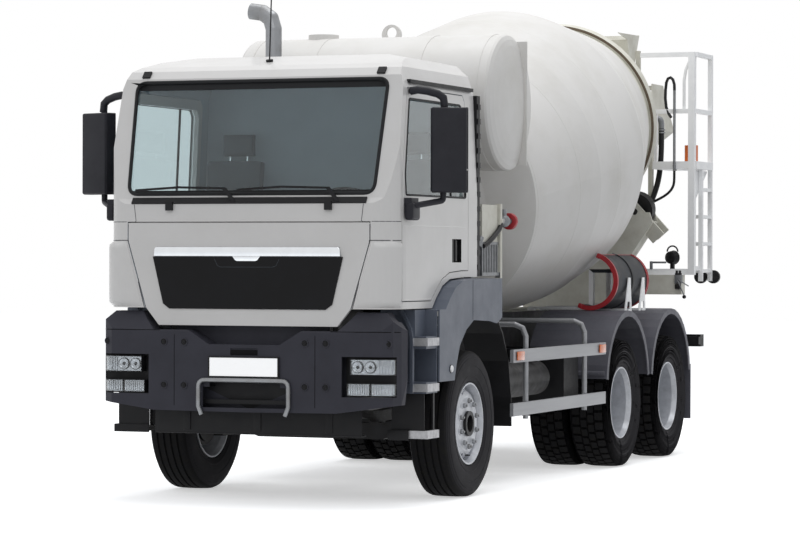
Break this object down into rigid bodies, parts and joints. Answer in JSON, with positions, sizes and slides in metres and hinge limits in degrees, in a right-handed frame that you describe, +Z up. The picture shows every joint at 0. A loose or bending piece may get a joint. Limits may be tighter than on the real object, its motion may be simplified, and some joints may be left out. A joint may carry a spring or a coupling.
{
  "type": "concrete mixer truck",
  "caption": "Forward-control heavy truck with a tilting cab, a rotating concrete drum, water tank, loading hopper, swivelling discharge chute and rear ladder.",
  "frame": {"origin": "on the ground under the middle of the vehicle's outline", "axes": "+X is the vehicle's left, +Y points to its rear, +Z is up"},
  "size_m": [2.9926, 8.7689, 3.889],
  "materials": {
    "chassis_paint": "satin",
    "bumper_plastic": "satin",
    "step_chrome": "polished",
    "lamp_lens": "clear",
    "plate_white": "gloss",
    "engine_iron": "rough",
    "spring_steel": "satin",
    "fender_plastic": "satin",
    "guard_aluminium": "satin",
    "black_plastic": "satin",
    "exhaust_steel": "satin",
    "cooler_metal": "satin",
    "mixer_cream": "gloss",
    "body_white": "gloss",
    "ladder_grey": "gloss",
    "chute_dark": "worn",
    "hose_rubber": "matt",
    "interior_fabric": "matt",
    "window_glass": "clear",
    "grille_black": "gloss",
    "tyre_rubber": "matt",
    "rim_silver": "satin"
  },
  "bodies": {
    "chassis": {"frame": "chassis_paint", "bumper": "bumper_plastic", "bumper_step": "step_chrome", "lamps": "lamp_lens", "number_plate": "plate_white", "driveline": "engine_iron", "axles": "chassis_paint", "leaf_springs": "spring_steel", "cab_mounts": "chassis_paint", "front_fenders": "fender_plastic", "rear_fenders": "bumper_plastic", "side_guards": "guard_aluminium", "battery_box": "black_plastic", "fuel_tank": "guard_aluminium", "air_tanks": "chassis_paint", "exhaust_stack": "exhaust_steel", "water_gear": "cooler_metal", "subframe": "mixer_cream", "drum_drive": "mixer_cream", "water_tank": "body_white", "rear_pedestal": "mixer_cream", "drum_rollers": "spring_steel", "hopper": "mixer_cream", "discharge_funnel": "mixer_cream", "platform": "ladder_grey", "extension_chutes": "chute_dark", "drain_hose": "hose_rubber", "wash_hose": "hose_rubber"},
    "cab": {"cab_shell": "body_white", "cab_interior": "interior_fabric", "windscreen": "window_glass", "cab_trim": "black_plastic", "air_intake": "black_plastic"},
    "front_flap": {"front_flap": "body_white", "grille": "grille_black"},
    "door_left": {"door_left": "body_white", "door_glass_left": "window_glass", "mirrors_left": "black_plastic"},
    "door_right": {"door_right": "body_white", "door_glass_right": "window_glass", "mirrors_right": "black_plastic"},
    "steer_left": {"knuckle_left": "spring_steel"},
    "steer_right": {"knuckle_right": "spring_steel"},
    "drum": {"drum": "body_white"},
    "chute_swing": {"chute_arm": "mixer_cream"},
    "chute": {"chute": "mixer_cream"},
    "wheel_front_left": {"tyre_front_left": "tyre_rubber", "rim_front_left": "rim_silver"},
    "wheel_front_right": {"tyre_front_right": "tyre_rubber", "rim_front_right": "rim_silver"},
    "wheel_middle_left": {"tyres_middle_left": "tyre_rubber", "rims_middle_left": "rim_silver"},
    "wheel_middle_right": {"tyres_middle_right": "tyre_rubber", "rims_middle_right": "rim_silver"},
    "wheel_rear_left": {"tyres_rear_left": "tyre_rubber", "rims_rear_left": "rim_silver"},
    "wheel_rear_right": {"tyres_rear_right": "tyre_rubber", "rims_rear_right": "rim_silver"}
  },
  "joints": [
    {"name": "cab_tilt", "type": "hinge", "parent": "chassis", "child": "cab", "pos_m": [0, -4.255, 1.33], "axis": [1, 0, 0], "range_deg": [0, 60]},
    {"name": "front_flap_lift", "type": "hinge", "parent": "cab", "child": "front_flap", "pos_m": [0, -4.293, 1.986], "axis": [-1, 0, 0], "range_deg": [0, 80]},
    {"name": "door_left_swing", "type": "hinge", "parent": "cab", "child": "door_left", "pos_m": [1.113, -4.145, 2], "axis": [0, 0, -1], "range_deg": [0, 75]},
    {"name": "door_right_swing", "type": "hinge", "parent": "cab", "child": "door_right", "pos_m": [-1.113, -4.145, 2], "axis": [0, 0, 1], "range_deg": [0, 75]},
    {"name": "steer_left", "type": "hinge", "parent": "chassis", "child": "steer_left", "pos_m": [0.85, -2.91, 0.536], "axis": [0, 0, 1], "range_deg": [-38, 38]},
    {"name": "steer_right", "type": "hinge", "parent": "chassis", "child": "steer_right", "pos_m": [-0.85, -2.91, 0.536], "axis": [0, 0, 1], "range_deg": [-38, 38]},
    {"name": "drum_spin", "type": "hinge", "parent": "chassis", "child": "drum", "pos_m": [0, -1.13, 2.153], "axis": [0, 0.9774, 0.2113], "continuous": true},
    {"name": "chute_swivel", "type": "hinge", "parent": "chassis", "child": "chute_swing", "pos_m": [0, 3.73, 1.3], "axis": [0, 0, 1], "range_deg": [-90, 90]},
    {"name": "chute_tilt", "type": "hinge", "parent": "chute_swing", "child": "chute", "pos_m": [0, 3.73, 2.06], "axis": [1, 0, 0], "range_deg": [-5, 35]},
    {"name": "wheel_front_left_spin", "type": "hinge", "parent": "steer_left", "child": "wheel_front_left", "pos_m": [1.03, -2.91, 0.536], "axis": [1, 0, 0], "continuous": true},
    {"name": "wheel_front_right_spin", "type": "hinge", "parent": "steer_right", "child": "wheel_front_right", "pos_m": [-1.03, -2.91, 0.536], "axis": [1, 0, 0], "continuous": true},
    {"name": "wheel_middle_left_spin", "type": "hinge", "parent": "chassis", "child": "wheel_middle_left", "pos_m": [0.91, 0.69, 0.536], "axis": [1, 0, 0], "continuous": true},
    {"name": "wheel_middle_right_spin", "type": "hinge", "parent": "chassis", "child": "wheel_middle_right", "pos_m": [-0.91, 0.69, 0.536], "axis": [1, 0, 0], "continuous": true},
    {"name": "wheel_rear_left_spin", "type": "hinge", "parent": "chassis", "child": "wheel_rear_left", "pos_m": [0.91, 2.09, 0.536], "axis": [1, 0, 0], "continuous": true},
    {"name": "wheel_rear_right_spin", "type": "hinge", "parent": "chassis", "child": "wheel_rear_right", "pos_m": [-0.91, 2.09, 0.536], "axis": [1, 0, 0], "continuous": true}
  ],
  "couplings": [
    {"joint": "steer_right", "follows": "steer_left", "ratio": 1}
  ]
}
